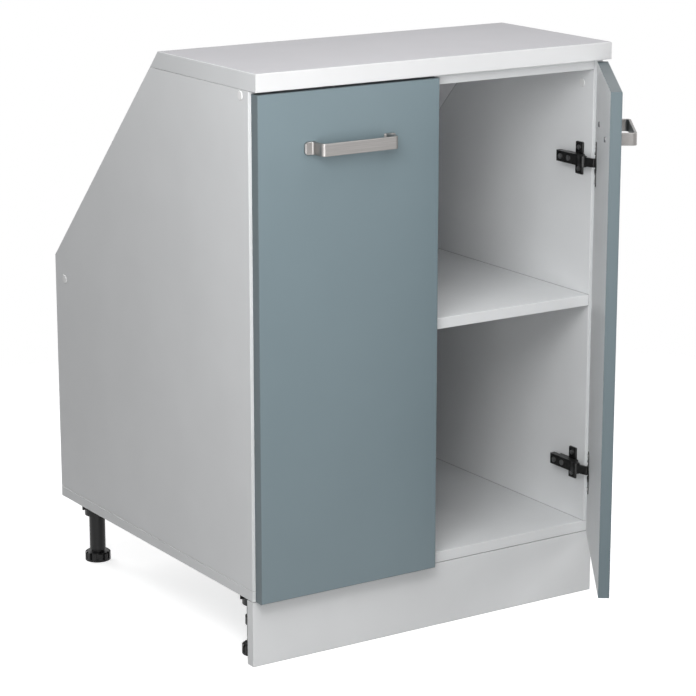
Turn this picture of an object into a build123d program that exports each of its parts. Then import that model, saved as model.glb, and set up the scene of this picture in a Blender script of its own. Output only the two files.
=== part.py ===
from build123d import *
import math
import os

# Kitchen base cabinet for a room with a sloped ceiling. Millimetres, +Z up, -Y is the front.
# The origin is on the floor, midway across the cabinet, in the middle of the plinth board's thickness.

# Driving dimensions
WIDTH = 600.0               # outside width of the carcass
CARCASS_DEPTH = 590.0       # carcass front edge to the upright rear edge
CARCASS_HEIGHT = 720.0
PLINTH_HEIGHT = 97.0        # floor to the underside of the carcass
PLINTH_GAP = 0.8            # between the plinth board and the carcass, so that the board clips in
BOARD = 16.0                # melamine faced board
WORKTOP_THICKNESS = 25.0
WORKTOP_NOSE = 20.0         # worktop front ahead of the carcass front
KINK_HEIGHT = 488.0         # floor to the corner where the slope starts
SLOPE_DEG = 46.0            # slope of the rear above the kink, from the horizontal
BACK_SHEET = 3.0
REBATE = 8.0                # how far the back sheets reach into the side panels
EDGE_BAND = 1.0
SHELF_BOTTOM = 449.0
DOOR_THICKNESS = 16.0
DOOR_HEIGHT = 716.0
DOOR_BOTTOM = 97.5
DOOR_GAP = 2.0              # carcass front to the back of a closed door
DOOR_REVEAL = 3.5           # carcass side to the door's hinge edge
DOOR_MEETING_GAP = 3.0
DOOR_REST_DEG = 55.2        # the right door stands open by this much at rest
EDGE_ROUND = 1.2
ARRIS = 0.7                 # softened edges of the boards, which make the joints show as fine grooves

# Handles
HANDLE_HEIGHT = 17.6        # height of the flat strap
HANDLE_HALF = 74.0          # half the length over the feet
HANDLE_SCREW_HALF = 64.0    # half the screw spacing
HANDLE_REACH = 28.0
HANDLE_STRAP = 4.0
HANDLE_FOOT_ROUND = 5.0
HANDLE_Z = 735.0

# Concealed hinges. Plan sizes are measured inward from the side panel's inner face
# and back from the carcass front.
HINGE_HEIGHTS = {"lower": 199.0, "upper": 667.0}
LINK_PIN_IN, LINK_PIN_BACK = 15.4, -0.5      # pin that carries the link on the arm
CUP_PIN_IN, CUP_PIN_BACK = -3.5, -4.0        # pin in the cup, door closed
LINK_BEND_IN, LINK_BEND_BACK = 0.0, -11.3    # where the link bends round the door's edge
LINK_SHARE = 0.755          # the link turns back by this share of the door's opening
PIN_R = 1.5
PIN_CLEARANCE = 0.05
LINK_HALF_HEIGHT = 6.5
ARM_HALF_HEIGHT = 8.0
ARM_WALL = 1.2
CUP_R = 17.5
CUP_WALL = 0.8
CUP_DEPTH = 13.0
CUP_CENTRE_IN = 8.5
FLANGE_THICKNESS = 1.2
FLANGE_HALF_HEIGHT = 33.0
CUP_SCREW_HALF = 26.0
PLATE_BACK = 28.0
PLATE_HALF_HEIGHT = 24.0
PLATE_SCREW_HALF = 16.0

# Legs
LEG_X = 266.0
LEG_FRONT_BACK, LEG_REAR_BACK = 50.0, 537.0
TUBE_R = 12.5
STEM_R = 6.0
FOOT_R = 20.0
FOOT_HEIGHT = 14.0
COLLAR_TOP = 17.0
TUBE_BOTTOM = 18.0
STEM_TOP = 76.0
SOCKET_LIP_R = 19.0

# Worked out from the above
FRONT = -BOARD / 2                      # y of the carcass front
REAR = FRONT + CARCASS_DEPTH
HALF = WIDTH / 2
INNER = HALF - BOARD                    # side panel's inner face
BASE = PLINTH_HEIGHT
FLOOR_TOP = BASE + BOARD
CARCASS_TOP = BASE + CARCASS_HEIGHT
TOP = CARCASS_TOP + WORKTOP_THICKNESS
SLOPE = math.radians(SLOPE_DEG)
PANEL_FRONT = FRONT + EDGE_BAND
DOOR_BACK = FRONT - DOOR_GAP
DOOR_FRONT = DOOR_BACK - DOOR_THICKNESS
DOOR_OUTER = HALF - DOOR_REVEAL
DOOR_INNER = DOOR_MEETING_GAP / 2
DOOR_MIDDLE = (DOOR_OUTER + DOOR_INNER) / 2
DOOR_TOP = DOOR_BOTTOM + DOOR_HEIGHT
LINK_PIN = (INNER - LINK_PIN_IN, FRONT + LINK_PIN_BACK)
CUP_PIN = (INNER - CUP_PIN_IN, FRONT + CUP_PIN_BACK)
LINK_BEND = (INNER - LINK_BEND_IN, FRONT + LINK_BEND_BACK)
CUP_X = INNER - CUP_CENTRE_IN
SIDES = {"left": -1, "right": 1}

nodes = {}


def block(x0, x1, y0, y1, z0, z1):
    return Pos(x0, y0, z0) * Box(x1 - x0, y1 - y0, z1 - z0, align=(Align.MIN,) * 3)


def rod(start, end, radius):
    """A round bar between two points."""
    a, b = Vector(*start), Vector(*end)
    return extrude(Plane(origin=a, z_dir=b - a) * Circle(radius), (b - a).length)


def side_profile(points, x0, x1):
    """A board whose outline is given as (y, z) points, from x0 to x1."""
    face = make_face(Polyline(*[(x0, y, z) for y, z in points], close=True))
    return extrude(face, x1 - x0, dir=(1, 0, 0))


def plan_profile(points, z0, z1):
    """A plate whose outline is given as (x, y) points, from z0 to z1."""
    face = make_face(Polyline(*[(x, y, z0) for x, y in points], close=True))
    return extrude(face, z1 - z0, dir=(0, 0, 1))


def mirrored(shape):
    return mirror(shape, about=Plane.YZ)


def for_side(side, shape):
    """Shapes are drawn on the right and mirrored for the left."""
    return shape if side == "right" else mirrored(shape)


def slope_y(z, inset=0.0):
    """Depth of the sloped rear at height z, moved square to the slope by inset."""
    return REAR - inset / math.sin(SLOPE) - (z - KINK_HEIGHT) / math.tan(SLOPE)


def kink_inset_height(inset):
    """Height at which the inset slope meets the inset upright rear."""
    return KINK_HEIGHT - (inset / math.sin(SLOPE) - inset) * math.tan(SLOPE)


# Pieces that sit in the boards, made first so that the boards can be drilled for them

def confirmat_hole(start, inward):
    """Stepped hole for a board screw: the head's counterbore, then the shank."""
    a, d = Vector(*start), Vector(*inward)
    return rod(a, a + d * 3, 5.0) + rod(a + d * 3, a + d * 50, 2.5)


def confirmat(start, inward):
    """A board screw, flush in its hole, with a socket that also holds the cover cap."""
    a, d = Vector(*start), Vector(*inward)
    return confirmat_hole(start, inward) - rod(a, a + d * 2.2, 2.0)


def cap(start, inward, radius):
    """A cover cap: a thin domed disc with a stub that holds it."""
    a, d = Vector(*start), Vector(*inward)
    disc = rod(a - d * 1.2, a, radius)
    disc = chamfer(disc.edges().filter_by(GeomType.CIRCLE).sort_by_distance(a - d * 9)[0], 0.7)
    return disc + rod(a, a + d * 2.0, 2.0)


TOP_SCREW = (FRONT + 20.5, CARCASS_TOP - BOARD / 2)
SHELF_SCREW = (FRONT + 558.8, SHELF_BOTTOM + 5.5)
LINK_HOLE = (FRONT + 26.7, 778.5)
BOTTOM_SCREWS = (FRONT + 110.0, FRONT + 470.0)
DOWEL_SEATS = [
    (FRONT + 150, CARCASS_TOP - BOARD / 2), (FRONT + 235, CARCASS_TOP - BOARD / 2),
    (FRONT + 60, SHELF_BOTTOM + BOARD / 2), (FRONT + 300, SHELF_BOTTOM + BOARD / 2),
]


def carcass_screws(make):
    """Calls make for each board screw: through the sides, and up into them from below."""
    made = []
    for s in (-1, 1):
        for y, z in (TOP_SCREW, SHELF_SCREW):
            made.append(make((s * HALF, y, z), (-s, 0, 0)))
        for y in BOTTOM_SCREWS:
            made.append(make((s * (HALF - BOARD / 2), y, BASE), (0, 0, 1)))
    return made


def dowels():
    made = []
    for s in (-1, 1):
        for y, z in DOWEL_SEATS:
            made.append(rod((s * (INNER + 10), y, z), (s * (INNER - 20), y, z), 4.0))
        for y in (FRONT + 180, FRONT + 410):
            x = s * (HALF - BOARD / 2)
            made.append(rod((x, y, BASE + 4), (x, y, FLOOR_TOP + 18), 4.0))
    return made


def outer_caps():
    return [cap((s * HALF, y, z), (-s, 0, 0), 6.5)
            for s in (-1, 1) for y, z in (TOP_SCREW, SHELF_SCREW)]


def inner_caps():
    return [cap((s * INNER, LINK_HOLE[0], LINK_HOLE[1]), (s, 0, 0), 6.0) for s in (-1, 1)]


def back_nails():
    """Flush nails that hold both back sheets to the panels round them."""
    made = []
    edge = HALF - REBATE / 2 - 8.0
    for z in (150.0, 250.0, 350.0, 430.0):
        for s in (-1, 1):
            made.append(nail((s * edge, REAR, z), (0, -1, 0)))
    for x in (-200.0, 0.0, 200.0):
        made.append(nail((x, REAR, FLOOR_TOP - 4), (0, -1, 0)))
        made.append(nail((x, REAR, SHELF_BOTTOM + 6), (0, -1, 0)))
        z = CARCASS_TOP - 4
        made.append(nail((x, slope_y(z), z), slope_inward()))
    for z in (530.0, 620.0, 710.0, 780.0):
        for s in (-1, 1):
            made.append(nail((s * edge, slope_y(z), z), slope_inward()))
    return made


def slope_inward():
    return (0, -math.sin(SLOPE), -math.cos(SLOPE))


def nail(start, inward):
    a, d = Vector(*start), Vector(*inward)
    return rod(a, a + d * 0.6, 2.2) + rod(a + d * 0.6, a + d * 15, 0.8)


def worktop_screws():
    made = []
    for x in (-200.0, 200.0):
        for y in (FRONT + 45.0, FRONT + 205.0):
            z = CARCASS_TOP - BOARD
            made.append(rod((x, y, z - 2.0), (x, y, z), 4.0) + rod((x, y, z), (x, y, z + 32), 2.0))
    return made


# Carcass boards

def back_sheets():
    inner_y = REAR - BACK_SHEET
    mitre = kink_inset_height(BACK_SHEET)
    reach = INNER + REBATE
    lower = side_profile([(inner_y, BASE + REBATE), (REAR, BASE + REBATE), (REAR, KINK_HEIGHT),
                          (inner_y, mitre)], -reach, reach)
    sloped = side_profile([(inner_y, mitre), (REAR, KINK_HEIGHT), (slope_y(CARCASS_TOP), CARCASS_TOP),
                           (slope_y(CARCASS_TOP, BACK_SHEET), CARCASS_TOP)], -reach, reach)
    return lower, sloped


def side_panel():
    """Right side panel, standing on the bottom panel."""
    outline = [(PANEL_FRONT, FLOOR_TOP), (PANEL_FRONT, CARCASS_TOP), (slope_y(CARCASS_TOP), CARCASS_TOP),
               (REAR, KINK_HEIGHT), (REAR, FLOOR_TOP)]
    panel = side_profile(outline, INNER, HALF)
    return softened(panel, panel.faces().sort_by(Axis.X)[-1].edges())


def softened(board, edges):
    """Breaks the given edges, but for those at the board's front, where the edge band sits."""
    front = board.faces().sort_by(Axis.Y)[0].center().Y
    return chamfer([e for e in edges if e.center().Y > front + 0.01], ARRIS)


def bottom_board():
    board = block(-HALF, HALF, PANEL_FRONT, REAR, BASE, FLOOR_TOP)
    return softened(board, [e for e in board.edges() if abs(e.center().X) > HALF - 1])


def top_panel():
    low = CARCASS_TOP - BOARD
    outline = [(PANEL_FRONT, low), (PANEL_FRONT, CARCASS_TOP),
               (slope_y(CARCASS_TOP, BACK_SHEET), CARCASS_TOP), (slope_y(low, BACK_SHEET), low)]
    return side_profile(outline, -INNER, INNER)


def worktop_board():
    front = FRONT - WORKTOP_NOSE + EDGE_BAND
    outline = [(front, CARCASS_TOP), (front, TOP), (slope_y(TOP), TOP), (slope_y(CARCASS_TOP), CARCASS_TOP)]
    board = side_profile(outline, -HALF, HALF)
    return softened(board, board.edges())


def edge_bands():
    """Glued strips on the front edges of the boards, slightly rounded at the front."""
    def band(x0, x1, z0, z1, y=FRONT):
        strip = block(x0, x1, y, y + EDGE_BAND, z0, z1)
        front = strip.faces().sort_by(Axis.Y)[0]
        return fillet(front.edges(), 0.6)
    sides = [band(s * HALF if s < 0 else INNER, -INNER if s < 0 else HALF, FLOOR_TOP, CARCASS_TOP)
             for s in (-1, 1)]
    shelf = band(-INNER, INNER, SHELF_BOTTOM, SHELF_BOTTOM + BOARD)
    bottom = band(-HALF, HALF, BASE, FLOOR_TOP)
    top = band(-INNER, INNER, CARCASS_TOP - BOARD, CARCASS_TOP)
    worktop = band(-HALF, HALF, CARCASS_TOP, TOP, FRONT - WORKTOP_NOSE)
    return sides + [shelf, bottom, top, worktop]


def cut_all(shape, tools):
    for tool in tools:
        shape = shape - tool
    return shape


def link_hole_pilot(s):
    """Blind starter hole for joining to the next cabinet, under the inner cap."""
    y, z = LINK_HOLE
    return rod((s * INNER, y, z), (s * (INNER + 10), y, z), 2.0)


def build_carcass():
    holes, pegs, nails, top_screws = carcass_screws(confirmat_hole), dowels(), back_nails(), worktop_screws()
    lower, sloped = back_sheets()
    for side, s in SIDES.items():
        panel = for_side(side, side_panel()) - lower - sloped - link_hole_pilot(s)
        nodes[f"side_panel_{side}"] = cut_all(panel, holes + pegs + nails + hinge_plate_screws(s))
    nodes["bottom_panel"] = cut_all(bottom_board() - lower, holes + pegs + nails + leg_screws())
    nodes["top_panel"] = cut_all(top_panel(), holes + pegs + nails + top_screws)
    shelf = block(-INNER, INNER, PANEL_FRONT, REAR - BACK_SHEET, SHELF_BOTTOM, SHELF_BOTTOM + BOARD)
    nodes["middle_shelf"] = cut_all(shelf, holes + pegs + nails)
    nodes["back_panel_lower"] = cut_all(lower, nails)
    nodes["back_panel_sloped"] = cut_all(sloped, nails)
    nodes["worktop"] = cut_all(worktop_board(), top_screws)
    nodes["front_edge_bands"] = Compound(edge_bands())
    nodes["carcass_screws"] = Compound(carcass_screws(confirmat))
    nodes["dowels"] = Compound(pegs)
    nodes["back_panel_nails"] = Compound(nails)
    nodes["worktop_screws"] = Compound(top_screws)
    nodes["outer_cover_caps"] = Compound(outer_caps())
    nodes["inner_cover_caps"] = Compound(inner_caps())


# Plinth and legs

def leg_places():
    return {f"{row}_{side}": (s * LEG_X, FRONT + back)
            for row, back in (("front", LEG_FRONT_BACK), ("rear", LEG_REAR_BACK))
            for side, s in SIDES.items()}


def leg_screws():
    made = []
    for x, y in leg_places().values():
        for dx, dy in ((-20, -20), (20, -20), (-20, 20), (20, 20)):
            low = BASE - 4
            made.append(rod((x + dx, y + dy, low - 1.6), (x + dx, y + dy, low), 3.4)
                        + rod((x + dx, y + dy, low), (x + dx, y + dy, BASE + 12), 1.8))
    return made


def leg_body(x, y):
    """Fixed upper part of a leg: flange, ribbed socket with its lip, and the tube."""
    flange = block(x - 27, x + 27, y - 27, y + 27, BASE - 4, BASE)
    flange = fillet(flange.edges().filter_by(Axis.Z), 6)
    body = flange + rod((x, y, BASE - 22), (x, y, BASE - 4), 16.0)
    body += rod((x, y, BASE - 22), (x, y, BASE - 12), SOCKET_LIP_R)
    for turn in range(4):
        rib = block(0, 25, -1.2, 1.2, BASE - 12, BASE - 4)
        body += Pos(x, y, 0) * Rot(0, 0, 90 * turn) * rib
    body += rod((x, y, TUBE_BOTTOM), (x, y, BASE - 22), TUBE_R)
    bore = rod((x, y, TUBE_BOTTOM), (x, y, BASE - 16), STEM_R + PIN_CLEARANCE)
    return body - bore


def foot(x, y):
    """Adjustable foot: castellated disc for turning by hand, and the stem inside the tube."""
    disc = rod((x, y, 0), (x, y, FOOT_HEIGHT), FOOT_R)
    disc = chamfer(disc.edges().filter_by(GeomType.CIRCLE).sort_by(Axis.Z)[-1], 1.5)
    slot = block(FOOT_R - 3.2, FOOT_R + 1, -1.9, 1.9, 3.0, FOOT_HEIGHT + 1)
    slots = [Pos(x, y, 0) * Rot(0, 0, 30 * i) * slot for i in range(12)]
    collar = rod((x, y, FOOT_HEIGHT), (x, y, COLLAR_TOP), 10.5)
    stem = rod((x, y, COLLAR_TOP), (x, y, STEM_TOP), STEM_R)
    return cut_all(disc, slots) + collar + stem


PLINTH_BACK = FRONT + BOARD
CLIP_Z = 50.0


def plinth_clip(x, y):
    """Snap ring round a front leg, with its arm to the pad on the plinth."""
    ring = rod((x, y, CLIP_Z - 6), (x, y, CLIP_Z + 6), TUBE_R + 2.4)
    ring -= rod((x, y, CLIP_Z - 6), (x, y, CLIP_Z + 6), TUBE_R)
    ring -= block(x - 7, x + 7, y, y + 20, CLIP_Z - 6, CLIP_Z + 6)
    arm = block(x - 5, x + 5, PLINTH_BACK + 2.5, y - TUBE_R - 0.6, CLIP_Z - 5, CLIP_Z + 5)
    pad = block(x - 20, x + 20, PLINTH_BACK, PLINTH_BACK + 2.5, CLIP_Z - 12, CLIP_Z + 12)
    pad = fillet(pad.edges().filter_by(Axis.Y), 4)
    return ring + arm + pad


def build_base():
    fronts = [p for name, p in leg_places().items() if name.startswith("front")]
    pad_screws = []
    for x, _ in fronts:
        for dx in (-14, 14):
            head = rod((x + dx, PLINTH_BACK + 2.5, CLIP_Z), (x + dx, PLINTH_BACK + 4.0, CLIP_Z), 3.2)
            shank = rod((x + dx, PLINTH_BACK - 10, CLIP_Z), (x + dx, PLINTH_BACK + 2.5, CLIP_Z), 1.6)
            pad_screws.append(head + shank)
    board = block(-HALF, HALF, FRONT, PLINTH_BACK, 0, BASE - PLINTH_GAP)
    nodes["plinth_panel"] = cut_all(chamfer(board.edges(), ARRIS), pad_screws)
    nodes["plinth_clips"] = Compound([cut_all(plinth_clip(x, y), pad_screws) for x, y in fronts])
    nodes["plinth_clip_screws"] = Compound(pad_screws)
    screws = leg_screws()
    nodes["leg_screws"] = Compound(screws)
    for name, (x, y) in leg_places().items():
        nodes[f"leg_{name}"] = cut_all(leg_body(x, y), screws)
        nodes[f"foot_{name}"] = foot(x, y)


# Hinges. Every piece is drawn for the right side with the door closed.

def turned(shape, centre, degrees):
    x, y = centre
    return Pos(x, y, 0) * Rot(0, 0, degrees) * Pos(-x, -y, 0) * shape


def swung_point(point, centre, degrees):
    a = math.radians(degrees)
    dx, dy = point[0] - centre[0], point[1] - centre[1]
    return (centre[0] + dx * math.cos(a) - dy * math.sin(a), centre[1] + dx * math.sin(a) + dy * math.cos(a))


def link_at(shape, door_deg):
    return turned(shape, LINK_PIN, -LINK_SHARE * door_deg)


def door_at(shape, door_deg):
    """The door turns by door_deg and is carried by the link's cup pin."""
    pin = swung_point(CUP_PIN, LINK_PIN, -LINK_SHARE * door_deg)
    return Pos(pin[0], pin[1], 0) * Rot(0, 0, door_deg) * Pos(-CUP_PIN[0], -CUP_PIN[1], 0) * shape


def hinge_plate(z):
    """Cross-shaped mounting plate on the side panel, with the raised rail that the arm sits on."""
    y = FRONT + PLATE_BACK
    wings = block(INNER - 2.5, INNER, y - 8.5, y + 8.5, z - PLATE_HALF_HEIGHT, z + PLATE_HALF_HEIGHT)
    wings = fillet(wings.edges().filter_by(Axis.X), 1.6)
    wings = chamfer(wings.faces().sort_by(Axis.X)[0].edges(), 0.5)
    rail = block(ARM_FACE + ARM_WALL, INNER, FRONT + 16, FRONT + 60, z - 6.3, z + 6.3)
    rail = fillet(rail.edges().filter_by(Axis.X), 2)
    return wings + rail


def crossed(head, x, y, z):
    """Cuts a cross into a screw head that faces along X, with the face at x."""
    head -= block(x - 0.6, x + 0.6, y - 0.5, y + 0.5, z - 2.5, z + 2.5)
    return head - block(x - 0.6, x + 0.6, y - 2.5, y + 2.5, z - 0.5, z + 0.5)


def plate_screw(z, s=1):
    y = FRONT + PLATE_BACK
    face, seat = s * (INNER - 4.1), s * (INNER - 2.5)
    head = crossed(rod((face, y, z), (seat, y, z), 3.6), face, y, z)
    return head + rod((seat, y, z), (s * (INNER + 11), y, z), 2.2)


def hinge_plate_screws(s):
    return [plate_screw(z + dz, s) for z in HINGE_HEIGHTS.values()
            for dz in (-PLATE_SCREW_HALF, PLATE_SCREW_HALF)]


ARM_FACE = INNER - 16.0     # the arm's face towards the middle of the cabinet
ARM_REAR = FRONT + 66.0


def hinge_arm(z):
    """Pressed steel arm: a channel over the plate's rail, with a nose that carries the link pin."""
    px, py = LINK_PIN
    f, w = ARM_FACE, ARM_WALL
    nose = px - 4.6
    shell = plan_profile([(f + 9, ARM_REAR), (f, ARM_REAR), (f, FRONT + 14), (nose, py + 4.0),
                          (nose, py - 1.4), (nose + 2.2, py - 3.6), (px + 2.4, py - 3.6),
                          (px + 4.5, py + 1.0), (f + 9, FRONT + 11)], z - ARM_HALF_HEIGHT, z + ARM_HALF_HEIGHT)
    hollow = plan_profile([(f + 12, ARM_REAR - w), (f + w, ARM_REAR - w), (f + w, FRONT + 13.6),
                           (nose + w, py + 3.6), (nose + w, py - 9), (f + 12, py - 9)],
                          z - ARM_HALF_HEIGHT + w, z + ARM_HALF_HEIGHT - w)
    rear = shell.edges().filter_by(Axis.Z).sort_by_distance((f, ARM_REAR, z))[0]
    return fillet(rear, 2.0) - hollow


def arm_screw(y, z):
    """Adjusting screw through the arm into the rail of the plate, with a crossed slot."""
    face = ARM_FACE - 1.4
    head = crossed(rod((face, y, z), (ARM_FACE, y, z), 4.2), face, y, z)
    return head + rod((ARM_FACE, y, z), (INNER - 3, y, z), 2.5)


def arm_screws(z):
    return [arm_screw(FRONT + 36, z), arm_screw(FRONT + 55, z)]


def hinge_link(z):
    """Bent link between the arm's pin and the cup's pin."""
    low, high = z - LINK_HALF_HEIGHT, z + LINK_HALF_HEIGHT
    body = rod((*LINK_PIN, low), (*LINK_PIN, high), 2.9) + rod((*CUP_PIN, low), (*CUP_PIN, high), 2.8)
    body += rod((*LINK_BEND, low), (*LINK_BEND, high), 1.9)
    for a, b in ((LINK_PIN, LINK_BEND), (LINK_BEND, CUP_PIN)):
        along = Vector(b[0] - a[0], b[1] - a[1], 0)
        across = Vector(-along.Y, along.X, 0).normalized() * 1.9
        corners = [(a[0] + k * across.X, a[1] + k * across.Y) for k in (1, -1)]
        corners += [(b[0] + k * across.X, b[1] + k * across.Y) for k in (-1, 1)]
        body += plan_profile(corners, low, high)
    for pin in (LINK_PIN, CUP_PIN):
        body -= rod((*pin, low), (*pin, high), PIN_R + PIN_CLEARANCE)
    return body


def link_pin(z):
    return rod((*LINK_PIN, z - ARM_HALF_HEIGHT - 0.5), (*LINK_PIN, z + ARM_HALF_HEIGHT + 0.5), PIN_R)


def cup_bore(z):
    return rod((CUP_X, DOOR_BACK - CUP_DEPTH, z), (CUP_X, DOOR_BACK, z), CUP_R)


def cup_pin(z):
    """Pin across the cup, ending flush with the outside of its wall."""
    return rod((*CUP_PIN, z - CUP_R), (*CUP_PIN, z + CUP_R), PIN_R) & cup_bore(z)


def hinge_cup(z):
    """Cup pressed into the door, with its screwed flange on the door's inner face."""
    bottom = DOOR_BACK - CUP_DEPTH
    cup = cup_bore(z)
    wings = block(CUP_X - 14, CUP_X + 2, DOOR_BACK, DOOR_BACK + FLANGE_THICKNESS,
                  z - FLANGE_HALF_HEIGHT, z + FLANGE_HALF_HEIGHT)
    wings = fillet(wings.edges().filter_by(Axis.Y), 7.0)
    rim = rod((CUP_X, DOOR_BACK, z), (CUP_X, DOOR_BACK + FLANGE_THICKNESS, z), CUP_R + 1)
    rim -= block(CUP_X + 13, CUP_X + 30, DOOR_BACK - 1, DOOR_BACK + 3, z - 30, z + 30)
    hollow = rod((CUP_X, bottom + CUP_WALL, z), (CUP_X, DOOR_BACK + 3, z), CUP_R - CUP_WALL)
    return cup + wings + rim - hollow - cup_pin(z)


def cup_screws(z):
    made = []
    face = DOOR_BACK + FLANGE_THICKNESS
    x = CUP_X - 5.5
    for dz in (-CUP_SCREW_HALF, CUP_SCREW_HALF):
        head = rod((x, face, z + dz), (x, face + 1.0, z + dz), 3.5)
        made.append(head + rod((x, DOOR_BACK - 11, z + dz), (x, face, z + dz), 1.9))
    return made


# Doors and handles

def handle_profile():
    """Half of the strap handle in plan, as (distance from its middle, distance off the door)."""
    h, r = HANDLE_HALF, HANDLE_REACH
    post = h - 12.0
    return [(0, r - HANDLE_STRAP), (post - 4.5, r - HANDLE_STRAP), (post - 4.5, 2.8), (post - 7, 0),
            (h, 0), (h, 2.6), (post, 4.4), (post, r), (0, r)]


def handle():
    """Flat strap handle on the right door: bar, two posts and their feet."""
    half = plan_profile(handle_profile(), 0, HANDLE_HEIGHT)
    def at(x, y):
        edges = half.edges().filter_by(Axis.Z)
        return min(edges, key=lambda e: math.hypot(e.center().X - x, e.center().Y - y))
    h, r = HANDLE_HALF, HANDLE_REACH
    post = h - 12.0
    rounds = [((post, r), 6.0), ((post - 4.5, r - HANDLE_STRAP), 4.5), ((post, 4.4), 3.2),
              ((h, 2.6), 2.4), ((post - 4.5, 2.8), 1.2)]
    for (x, y), radius in rounds:
        half = fillet(at(x, y), radius)
    strap = half + mirrored(half)
    tall = strap.edges().filter_by(Plane.XY)
    outline = [e for e in tall if e.center().Y > 0.5]
    strap = fillet(outline, 0.9)
    front_shape = Rot(90, 0, 0) * RectangleRounded(2 * h, HANDLE_HEIGHT, HANDLE_FOOT_ROUND)
    strap = strap & extrude(Pos(0, -1, HANDLE_HEIGHT / 2) * front_shape, r + 2, dir=(0, 1, 0))
    turned_out = Rot(180, 0, 0) * strap
    return Pos(DOOR_MIDDLE, DOOR_FRONT, HANDLE_Z + HANDLE_HEIGHT / 2) * turned_out


def crossed_in_door(head, x, face, z):
    """Cuts a cross into a screw head that faces out of the back of the door."""
    head -= block(x - 0.5, x + 0.5, face - 0.9, face, z - 2.2, z + 2.2)
    return head - block(x - 2.2, x + 2.2, face - 0.9, face, z - 0.5, z + 0.5)


def handle_screws():
    made = []
    for s in (-1, 1):
        x = DOOR_MIDDLE + s * HANDLE_SCREW_HALF
        face = DOOR_BACK + 2.0
        head = rod((x, DOOR_BACK, HANDLE_Z), (x, face, HANDLE_Z), 4.0)
        head = chamfer(head.edges().filter_by(GeomType.CIRCLE).sort_by(Axis.Y)[-1], 0.8)
        head = crossed_in_door(head, x, face, HANDLE_Z)
        made.append(head + rod((x, DOOR_FRONT - 3.2, HANDLE_Z), (x, DOOR_BACK, HANDLE_Z), 1.8))
    return made


def door_board():
    board = block(DOOR_INNER, DOOR_OUTER, DOOR_FRONT, DOOR_BACK, DOOR_BOTTOM, DOOR_TOP)
    front = board.faces().sort_by(Axis.Y)[0]
    board = fillet(front.edges(), EDGE_ROUND)
    back = board.faces().sort_by(Axis.Y)[-1]
    return fillet(back.edges(), 0.5)


def door_set():
    """Everything that swings with the right door, closed."""
    pieces = {"door": door_board(), "handle": handle(), "handle_screws": handle_screws(),
              "hinge_cup_pins": [cup_pin(z) for z in HINGE_HEIGHTS.values()],
              "hinge_cup_screws": [s for z in HINGE_HEIGHTS.values() for s in cup_screws(z)]}
    for level, z in HINGE_HEIGHTS.items():
        pieces["door"] -= cup_bore(z)
        pieces[f"hinge_cup_{level}"] = cut_all(hinge_cup(z), pieces["hinge_cup_screws"])
    pieces["door"] = cut_all(pieces["door"], pieces["handle_screws"] + pieces["hinge_cup_screws"])
    pieces["handle"] = cut_all(pieces["handle"], pieces["handle_screws"])
    return pieces


def placed(side, shape, place, door_deg):
    """Sets a moving piece at the door's rest angle, then mirrors it for the left."""
    solids = shape if isinstance(shape, list) else [shape]
    moved = [for_side(side, place(solid, door_deg)) for solid in solids]
    return moved[0] if len(moved) == 1 else Compound(moved)


def build_doors_and_hinges():
    swinging = door_set()
    rest = {"left": 0.0, "right": DOOR_REST_DEG}
    for side in SIDES:
        for name, shape in swinging.items():
            nodes[f"{name}_{side}"] = placed(side, shape, door_at, rest[side])
        for level, z in HINGE_HEIGHTS.items():
            arm = cut_all(hinge_arm(z) - link_pin(z), arm_screws(z))
            plate = cut_all(hinge_plate(z), arm_screws(z) + hinge_plate_screws(1))
            nodes[f"hinge_arm_{level}_{side}"] = for_side(side, arm)
            nodes[f"hinge_plate_{level}_{side}"] = for_side(side, plate)
            nodes[f"hinge_link_{level}_{side}"] = placed(side, hinge_link(z), link_at, rest[side])
    levels = HINGE_HEIGHTS.values()
    nodes["hinge_link_pins"] = Compound([for_side(side, link_pin(z)) for side in SIDES for z in levels])
    nodes["hinge_arm_screws"] = Compound([for_side(side, s) for side in SIDES for z in levels
                                          for s in arm_screws(z)])
    nodes["hinge_plate_screws"] = Compound([s for k in SIDES.values() for s in hinge_plate_screws(k)])


def report_swing():
    """Prints the pin places that the joints use, in metres."""
    for side, s in SIDES.items():
        rest = DOOR_REST_DEG if side == "right" else 0.0
        pin = swung_point(CUP_PIN, LINK_PIN, -LINK_SHARE * rest)
        print(side, "link pin", [round(s * LINK_PIN[0] / 1000, 6), round(LINK_PIN[1] / 1000, 6)],
              "cup pin", [round(s * pin[0] / 1000, 6), round(pin[1] / 1000, 6)])


build_carcass()
build_base()
build_doors_and_hinges()
report_swing()

os.makedirs("parts", exist_ok=True)
for name, shape in nodes.items():
    export_step(shape, f"parts/{name}.step")
print(len(nodes), "nodes")
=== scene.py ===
import math

import bpy
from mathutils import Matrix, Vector


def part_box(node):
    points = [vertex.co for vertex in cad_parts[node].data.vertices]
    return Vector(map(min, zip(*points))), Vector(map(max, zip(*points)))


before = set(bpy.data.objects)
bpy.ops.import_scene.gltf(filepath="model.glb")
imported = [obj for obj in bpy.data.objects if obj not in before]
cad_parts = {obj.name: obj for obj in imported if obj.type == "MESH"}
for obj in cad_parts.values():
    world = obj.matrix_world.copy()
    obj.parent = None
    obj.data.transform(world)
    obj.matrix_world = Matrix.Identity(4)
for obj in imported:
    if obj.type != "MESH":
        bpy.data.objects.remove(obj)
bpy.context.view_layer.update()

# The camera: a long lens, level side to side, looking slightly down. Places are in metres
CAMERA_PLACE = (-2.02483, -2.91937, 1.32973)
CAMERA_YAW = 32.9
CAMERA_PITCH = 14.35
CAMERA_LENS = 132.4
CAMERA_SENSOR = 36.0

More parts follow.
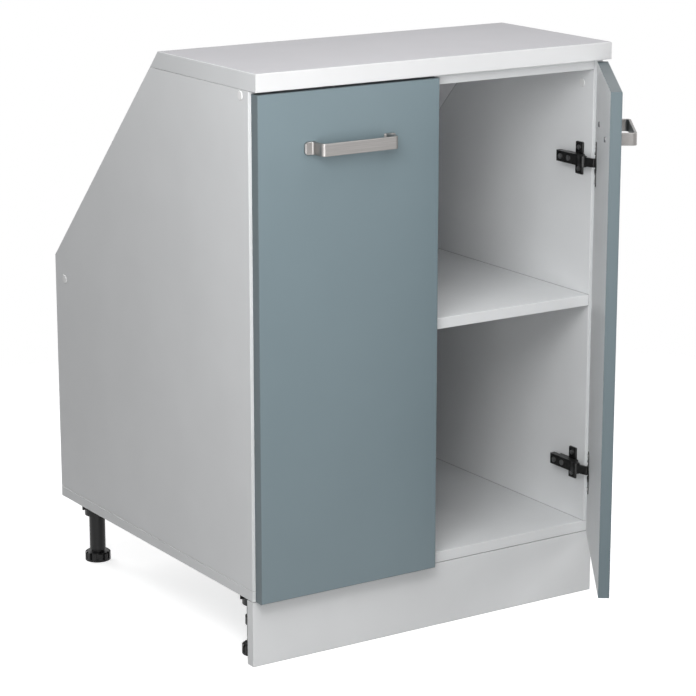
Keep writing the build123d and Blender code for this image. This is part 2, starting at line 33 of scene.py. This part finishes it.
# The lamps are square. Each has a name, a place, the point it shines at, the length of a side and its watts
LAMPS = [
    ("key", (-0.95, -0.85, 1.3), (-0.1, 0.0, 0.6), 0.7, 11.2),
    ("second key", (-0.35, -0.9, 1.2), (0.0, 0.1, 0.5), 0.6, 1.2),
    ("top", (0.0, -0.4, 2.1), (0.0, 0.1, 0.6), 1.0, 13.5),
    ("left fill", (-1.1, -1.4, 0.5), (0.2, 0.2, 0.5), 0.8, 9.2),
    ("front right", (1.3, -2.2, 1.2), (0.0, 0.1, 0.5), 1.0, 6.5),
    ("right fill", (2.5, -0.3, 1.1), (0.2, 0.2, 0.4), 1.2, 30.0),
    ("rear fill", (-0.4, 2.6, 1.1), (0.0, 0.5, 0.4), 1.2, 24.0),
]

# Soft light from all round
SKY_COLOUR = (0.98, 0.985, 1.0)
SKY_STRENGTH = 0.12

# The floor gives off some light itself, so that it stays pale in the shadow, and fades out round the object
FLOOR_SIZE = 8.0
FLOOR_DROP = 0.0002
FLOOR_COLOUR = (0.86, 0.86, 0.86)
FLOOR_GLOW = 0.65
FLOOR_FADE_START = 0.7
FLOOR_FADE_END = 1.7

# The right door is stored open by this many degrees
DOOR_REST = 55.2

# The worktop's edge strips lie above this height. Their tone sets in just over the seam below them
WORKTOP_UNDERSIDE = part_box("worktop")[0][2]
STRIP_TONE_START = WORKTOP_UNDERSIDE + 0.0001
STRIP_TONE_END = WORKTOP_UNDERSIDE + 0.0003

# Painted shade: where two pieces meet, their faces are darkened within this distance. Each spot is tried
# with a few samples:
# the painted shade is full where fewer than the first share of them are free, and gone above the second
# share
JOINT_REACH = 0.0016
JOINT_SAMPLES = 6
JOINT_SHADE_FULL_UP_TO = 0.45
JOINT_SHADE_GONE_FROM = 0.95

# A face looks along a direction when the cosine between the two is above this
FACING_COSINE = 0.98
UP = (0, 0, 1)


# Small helpers for node trees

def new_material(name):
    material = bpy.data.materials.new(name)
    material.use_nodes = True
    tree = material.node_tree
    return material, tree, tree.nodes["Principled BSDF"]


def coordinates(tree, scale=(1, 1, 1), turn=0.0):
    """Object coordinates in metres, turned about Z and then scaled."""
    source = tree.nodes.new("ShaderNodeTexCoord")
    turned = tree.nodes.new("ShaderNodeMapping")
    turned.inputs["Rotation"].default_value = (0, 0, math.radians(turn))
    mapping = tree.nodes.new("ShaderNodeMapping")
    mapping.inputs["Scale"].default_value = scale
    tree.links.new(source.outputs["Object"], turned.inputs["Vector"])
    tree.links.new(turned.outputs["Vector"], mapping.inputs["Vector"])
    return mapping.outputs["Vector"]


def noise(tree, vector, scale, detail=3.0, roughness=0.5):
    node = tree.nodes.new("ShaderNodeTexNoise")
    node.inputs["Scale"].default_value = scale
    node.inputs["Detail"].default_value = detail
    node.inputs["Roughness"].default_value = roughness
    tree.links.new(vector, node.inputs["Vector"])
    return node.outputs["Fac"]


def spread(tree, value, low=0.0, high=1.0, start=0.3, end=0.7):
    """Maps a value that runs from start to end to one that runs from low to high."""
    node = tree.nodes.new("ShaderNodeMapRange")
    node.inputs["From Min"].default_value = start
    node.inputs["From Max"].default_value = end
    node.inputs["To Min"].default_value = low
    node.inputs["To Max"].default_value = high
    tree.links.new(value, node.inputs["Value"])
    return node.outputs["Result"]


def two_tones(tree, factor, first, second):
    """A colour between two fixed ones, the first where factor is 0 and the second where it is 1."""
    node = tree.nodes.new("ShaderNodeMix")
    node.data_type = "RGBA"
    node.inputs["A"].default_value = (*first, 1)
    node.inputs["B"].default_value = (*second, 1)
    tree.links.new(factor, node.inputs["Factor"])
    return node.outputs["Result"]


def chosen(tree, factor, first, second):
    """One of two changing colours, the first where factor is 0 and the second where it is 1."""
    node = tree.nodes.new("ShaderNodeMix")
    node.data_type = "RGBA"
    tree.links.new(factor, node.inputs["Factor"])
    tree.links.new(first, node.inputs["A"])
    tree.links.new(second, node.inputs["B"])
    return node.outputs["Result"]


def bump(tree, shader, height, strength, distance):
    node = tree.nodes.new("ShaderNodeBump")
    node.inputs["Strength"].default_value = strength
    node.inputs["Distance"].default_value = distance
    tree.links.new(height, node.inputs["Height"])
    tree.links.new(node.outputs["Normal"], shader.inputs["Normal"])


def painted_joint_shade(tree, surface, depth):
    """Painted shade: multiplies a colour by depth where another face is close, as in the joint between two
    boards.
    """
    near = tree.nodes.new("ShaderNodeAmbientOcclusion")
    near.samples = JOINT_SAMPLES
    near.inputs["Distance"].default_value = JOINT_REACH
    factor = spread(tree, near.outputs["AO"], depth, 1.0, start=JOINT_SHADE_FULL_UP_TO, end=JOINT_SHADE_GONE_FROM)
    node = tree.nodes.new("ShaderNodeVectorMath")
    node.operation = "SCALE"
    tree.links.new(surface, node.inputs[0])
    tree.links.new(factor, node.inputs["Scale"])
    return node.outputs["Vector"]


def facing(tree, direction):
    """1 on faces of the object that look along direction, 0 elsewhere."""
    source = tree.nodes.new("ShaderNodeTexCoord")
    dot = tree.nodes.new("ShaderNodeVectorMath")
    dot.operation = "DOT_PRODUCT"
    dot.inputs[1].default_value = direction
    step = tree.nodes.new("ShaderNodeMath")
    step.operation = "GREATER_THAN"
    step.inputs[1].default_value = FACING_COSINE
    tree.links.new(source.outputs["Normal"], dot.inputs[0])
    tree.links.new(dot.outputs["Value"], step.inputs[0])
    return step.outputs["Value"]


def shade(colour, factor):
    return tuple(min(1.0, channel * factor) for channel in colour)


# Materials

def faced_board(name, colour, roughness, peel=0.00004, tone=0.02, specular=0.45, faces=()):
    """Melamine faced board: a fine pearl embossing, a slow change of tone and a satin sheen.

    peel is the depth of the embossing in metres, and tone the share by which the colour goes up and down.
    faces holds other colours, each with the direction that the faces of that colour look in.
    """
    material, tree, shader = new_material(name)
    at = coordinates(tree)
    slow = spread(tree, noise(tree, at, scale=9.0, detail=2.0))
    surface = two_tones(tree, slow, shade(colour, 1 - tone), shade(colour, 1 + tone))
    for second, direction in faces:
        second_surface = two_tones(tree, slow, shade(second, 1 - tone), shade(second, 1 + tone))
        surface = chosen(tree, facing(tree, direction), surface, second_surface)
    # Painted shade in the joints where this board meets other pieces
    tree.links.new(painted_joint_shade(tree, surface, depth=0.52), shader.inputs["Base Color"])
    smudges = noise(tree, at, scale=14.0, detail=2.0)
    sheen = spread(tree, smudges, roughness - 0.02, roughness + 0.03, start=0.1, end=0.9)
    tree.links.new(sheen, shader.inputs["Roughness"])
    pearl = noise(tree, at, scale=900.0, detail=2.0)
    bump(tree, shader, pearl, strength=0.35, distance=peel)
    shader.inputs["Specular IOR Level"].default_value = specular
    return material


def door_board(name, turn, edge):
    """Blue in front, white inside and darker blue strips round the edges, darkened by the share edge, which
    is set apart for each door as painted shade. The top strips are darker still, painted shade under the
    worktop. The door stands open by turn.
    """
    angle = math.radians(turn)
    forward = Vector((math.sin(angle), -math.cos(angle), 0))
    top_strip_painted_shade = shade(DOOR_BLUE, 0.4)
    faces = [(DOOR_BLUE, forward), (WHITE, -forward), (top_strip_painted_shade, UP)]
    return faced_board(name, shade(DOOR_BLUE, edge), 0.42, peel=0.00003, tone=0.015, faces=faces)


def edge_strip(name, colour, worktop_colour):
    """Thin plastic strips, glossier than the boards. Those of the worktop have a colour of their own."""
    material, tree, shader = new_material(name)
    at = coordinates(tree)
    parts = tree.nodes.new("ShaderNodeSeparateXYZ")
    tree.links.new(at, parts.inputs["Vector"])
    on_worktop = spread(tree, parts.outputs["Z"], start=STRIP_TONE_START, end=STRIP_TONE_END)
    slow = spread(tree, noise(tree, at, scale=12.0, detail=2.0))
    carcass_surface = two_tones(tree, slow, shade(colour, 0.98), colour)
    worktop_surface = two_tones(tree, slow, shade(worktop_colour, 0.98), worktop_colour)
    surface = chosen(tree, on_worktop, carcass_surface, worktop_surface)
    # Painted shade in the joints where the strips meet other pieces
    tree.links.new(painted_joint_shade(tree, surface, depth=0.35), shader.inputs["Base Color"])
    tree.links.new(spread(tree, slow, 0.28, 0.33, start=0.0, end=1.0), shader.inputs["Roughness"])
    drawn = noise(tree, coordinates(tree, scale=(0.02, 1, 1)), scale=1500.0, detail=2.0)
    bump(tree, shader, drawn, strength=0.1, distance=0.000003)
    return material


def brushed_metal(name, colour, turn):
    """Satin nickel: fine scratches that run along the handle, which stands turned with its door."""
    material, tree, shader = new_material(name)
    along = coordinates(tree, scale=(14, 900, 1600), turn=turn)
    streaks = noise(tree, along, scale=1.0, detail=3.0, roughness=0.6)
    cloud = noise(tree, coordinates(tree), scale=60.0, detail=3.0)
    surface = two_tones(tree, spread(tree, streaks), shade(colour, 0.86), shade(colour, 1.08))
    tree.links.new(surface, shader.inputs["Base Color"])
    tree.links.new(spread(tree, cloud, 0.36, 0.46), shader.inputs["Roughness"])
    bump(tree, shader, streaks, strength=0.25, distance=0.00003)
    shader.inputs["Metallic"].default_value = 1.0
    return material


def coated_steel(name, colour, roughness):
    """Black coated pressed steel, worn a little lighter in spots."""
    material, tree, shader = new_material(name)
    at = coordinates(tree)
    scuffs = noise(tree, at, scale=240.0, detail=4.0, roughness=0.65)
    wear = spread(tree, scuffs, start=0.45, end=0.8)
    tree.links.new(two_tones(tree, wear, colour, shade(colour, 2.2)), shader.inputs["Base Color"])
    grain = noise(tree, at, scale=2600.0, detail=2.0)
    tree.links.new(spread(tree, grain, roughness - 0.05, roughness + 0.08), shader.inputs["Roughness"])
    bump(tree, shader, grain, strength=0.3, distance=0.00003)
    shader.inputs["Metallic"].default_value = 0.6
    return material


def moulded_plastic(name, colour, roughness, grain_scale=1800.0, depth=0.00005, specular=0.5):
    """Injection moulded plastic with a fine eroded grain and faint flow marks."""
    material, tree, shader = new_material(name)
    flow = noise(tree, coordinates(tree, scale=(1, 1, 0.25)), scale=45.0, detail=3.0)
    surface = two_tones(tree, spread(tree, flow), shade(colour, 0.85), shade(colour, 1.15))
    tree.links.new(surface, shader.inputs["Base Color"])
    grain = noise(tree, coordinates(tree), scale=grain_scale, detail=3.0)
    tree.links.new(spread(tree, grain, roughness - 0.06, roughness + 0.08), shader.inputs["Roughness"])
    bump(tree, shader, grain, strength=0.4, distance=depth)
    shader.inputs["Specular IOR Level"].default_value = specular
    return material


def plated_steel(name, colour, roughness):
    """Plated steel with fine turning marks."""
    material, tree, shader = new_material(name)
    marks = noise(tree, coordinates(tree, scale=(1, 1, 3)), scale=900.0, detail=3.0)
    surface = two_tones(tree, spread(tree, marks), shade(colour, 0.85), colour)
    tree.links.new(surface, shader.inputs["Base Color"])
    tree.links.new(spread(tree, marks, roughness, roughness + 0.15), shader.inputs["Roughness"])
    shader.inputs["Metallic"].default_value = 1.0
    return material


def bare_wood(name, light, dark):
    """Bare wood with a grain that runs across the cabinet, as most of the dowels do."""
    material, tree, shader = new_material(name)
    grain = noise(tree, coordinates(tree, scale=(40, 900, 900)), scale=1.0, detail=4.0, roughness=0.6)
    tree.links.new(two_tones(tree, spread(tree, grain), light, dark), shader.inputs["Base Color"])
    shader.inputs["Roughness"].default_value = 0.7
    bump(tree, shader, grain, strength=0.3, distance=0.0001)
    return material


WHITE = (0.78, 0.792, 0.80)
# The worktop's top face is darker than the rest of its laminate: painted shade against the strong light
# from above
WORKTOP_TOP_PAINTED_SHADE = (0.50, 0.495, 0.515)
DOOR_BLUE = (0.177, 0.234, 0.258)
NICKEL = (0.32, 0.308, 0.30)

board = faced_board("white melamine board", WHITE, 0.36)
# The top face of the worktop takes the darker colour: painted shade
worktop_board = faced_board("white worktop laminate", WHITE, 0.58, peel=0.00002, specular=0.2,
                            faces=[(WORKTOP_TOP_PAINTED_SHADE, UP)])
# The plinth board is a little lighter than the other white boards: painted light
plinth_board_painted_light = faced_board("white plinth board", (0.82, 0.83, 0.835), 0.36)
back_board = faced_board("white faced hardboard", (0.74, 0.74, 0.755), 0.5, peel=0.00006)
# The two doors' edge strips are darkened by different shares: painted shade for how each door stands to the
# light
door_closed = door_board("grey blue board", 0.0, edge=0.66)
door_open = door_board("grey blue board, open", DOOR_REST, edge=0.78)
edging = edge_strip("white edge strip", (0.84, 0.85, 0.855), (0.742, 0.745, 0.75))
nickel_straight = brushed_metal("satin nickel", NICKEL, 0.0)
# The open door's handle is a darker copy of the satin nickel: painted shade
nickel_turned_painted_shade = brushed_metal("satin nickel, open door, painted shade", shade(NICKEL, 0.8), -DOOR_REST)
hinge_black = coated_steel("black hinge steel", (0.022, 0.022, 0.022), 0.3)
screw_dark = plated_steel("dark screws", (0.36, 0.36, 0.365), 0.28)
# The handle screws are darker than their plating: painted shade for the ring of shadow round their heads
screw_grey_painted_shade = plated_steel("grey screws", (0.22, 0.22, 0.23), 0.3)
zinc = plated_steel("zinc plated screws", (0.62, 0.62, 0.64), 0.22)
black_plastic = moulded_plastic("black plastic", (0.0045, 0.0045, 0.005), 0.38, specular=0.3)
white_plastic = moulded_plastic("white plastic", (0.84, 0.84, 0.84), 0.32, grain_scale=900.0, depth=0.00002)
beech = bare_wood("beech", light=(0.62, 0.42, 0.24), dark=(0.50, 0.32, 0.17))

# Each material, with how the names of its nodes start
WEARERS = [
    (board, ["side_panel", "bottom_panel", "top_panel", "middle_shelf"]),
    (worktop_board, ["worktop"]),
    (plinth_board_painted_light, ["plinth_panel"]),
    (back_board, ["back_panel"]),
    (door_closed, ["door_left"]),
    (door_open, ["door_right"]),
    (edging, ["front_edge_bands"]),
    (nickel_straight, ["handle_left"]),
    (nickel_turned_painted_shade, ["handle_right"]),
    (hinge_black, ["hinge"]),
    (screw_dark, ["hinge_cup_screws", "hinge_plate_screws", "hinge_arm_screws"]),
    (screw_grey_painted_shade, ["handle_screws"]),
    (zinc, ["carcass_screws", "worktop_screws", "leg_screws", "plinth_clip_screws", "back_panel_nails"]),
    (black_plastic, ["leg", "foot", "plinth_clips"]),
    (white_plastic, ["outer_cover_caps", "inner_cover_caps"]),
    (beech, ["dowels"]),
]


def dress_nodes():
    """Gives every node the material whose start fits its name. Where several fit, the longest counts."""
    material_of = {start: material for material, starts in WEARERS for start in starts}
    for name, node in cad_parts.items():
        longest = max((start for start in material_of if name.startswith(start)), key=len)
        for slot in node.material_slots:
            slot.material = material_of[longest]


# Studio

def add_floor():
    """A pale floor that fades into the white background all round. Matt faces get no light from it."""
    bpy.ops.mesh.primitive_plane_add(size=FLOOR_SIZE, location=(0, 0, -FLOOR_DROP))
    plane = bpy.context.object
    plane.name = "floor"
    material, tree, shader = new_material("pale floor")
    shader.inputs["Base Color"].default_value = (*FLOOR_COLOUR, 1)
    shader.inputs["Roughness"].default_value = 0.8
    shader.inputs["Emission Color"].default_value = (1, 1, 1, 1)
    shader.inputs["Emission Strength"].default_value = FLOOR_GLOW
    source = tree.nodes.new("ShaderNodeTexCoord")
    distance = tree.nodes.new("ShaderNodeVectorMath")
    distance.operation = "LENGTH"
    tree.links.new(source.outputs["Object"], distance.inputs[0])
    fade = spread(tree, distance.outputs["Value"], 1.0, 0.0, start=FLOOR_FADE_START, end=FLOOR_FADE_END)
    tree.links.new(fade, shader.inputs["Alpha"])
    plane.data.materials.append(material)
    plane.visible_diffuse = False


def add_lamp(name, place, target, side, watts):
    data = bpy.data.lights.new(name, "AREA")
    data.shape = "SQUARE"
    data.size = side
    data.energy = watts
    lamp = bpy.data.objects.new(name, data)
    lamp.location = place
    lamp.rotation_euler = (Vector(target) - Vector(place)).to_track_quat("-Z", "Y").to_euler()
    lamp.visible_camera = False
    bpy.context.scene.collection.objects.link(lamp)


def add_sky():
    """Soft light from all round, instead of which the camera and mirror images see plain white."""
    world = bpy.data.worlds.new("studio")
    world.use_nodes = True
    tree = world.node_tree
    tree.nodes.clear()
    seen = tree.nodes.new("ShaderNodeBackground")
    seen.inputs["Color"].default_value = (1, 1, 1, 1)
    lighting = tree.nodes.new("ShaderNodeBackground")
    lighting.inputs["Color"].default_value = (*SKY_COLOUR, 1)
    lighting.inputs["Strength"].default_value = SKY_STRENGTH
    path = tree.nodes.new("ShaderNodeLightPath")
    white = path.outputs["Is Camera Ray"]
    for kind in ("Is Glossy Ray", "Is Transmission Ray"):
        either = tree.nodes.new("ShaderNodeMath")
        either.operation = "MAXIMUM"
        tree.links.new(white, either.inputs[0])
        tree.links.new(path.outputs[kind], either.inputs[1])
        white = either.outputs["Value"]
    mix = tree.nodes.new("ShaderNodeMixShader")
    out = tree.nodes.new("ShaderNodeOutputWorld")
    tree.links.new(white, mix.inputs["Fac"])
    tree.links.new(lighting.outputs["Background"], mix.inputs[1])
    tree.links.new(seen.outputs["Background"], mix.inputs[2])
    tree.links.new(mix.outputs["Shader"], out.inputs["Surface"])
    bpy.context.scene.world = world


def add_camera():
    data = bpy.data.cameras.new("camera")
    data.lens = CAMERA_LENS
    data.sensor_width = CAMERA_SENSOR
    eye = bpy.data.objects.new("camera", data)
    eye.location = CAMERA_PLACE
    eye.rotation_euler = (math.radians(90 - CAMERA_PITCH), 0, math.radians(-CAMERA_YAW))
    bpy.context.scene.collection.objects.link(eye)
    bpy.context.scene.camera = eye


dress_nodes()
add_floor()
add_sky()
for lamp in LAMPS:
    add_lamp(*lamp)
add_camera()
bpy.context.scene.view_settings.view_transform = "Standard"
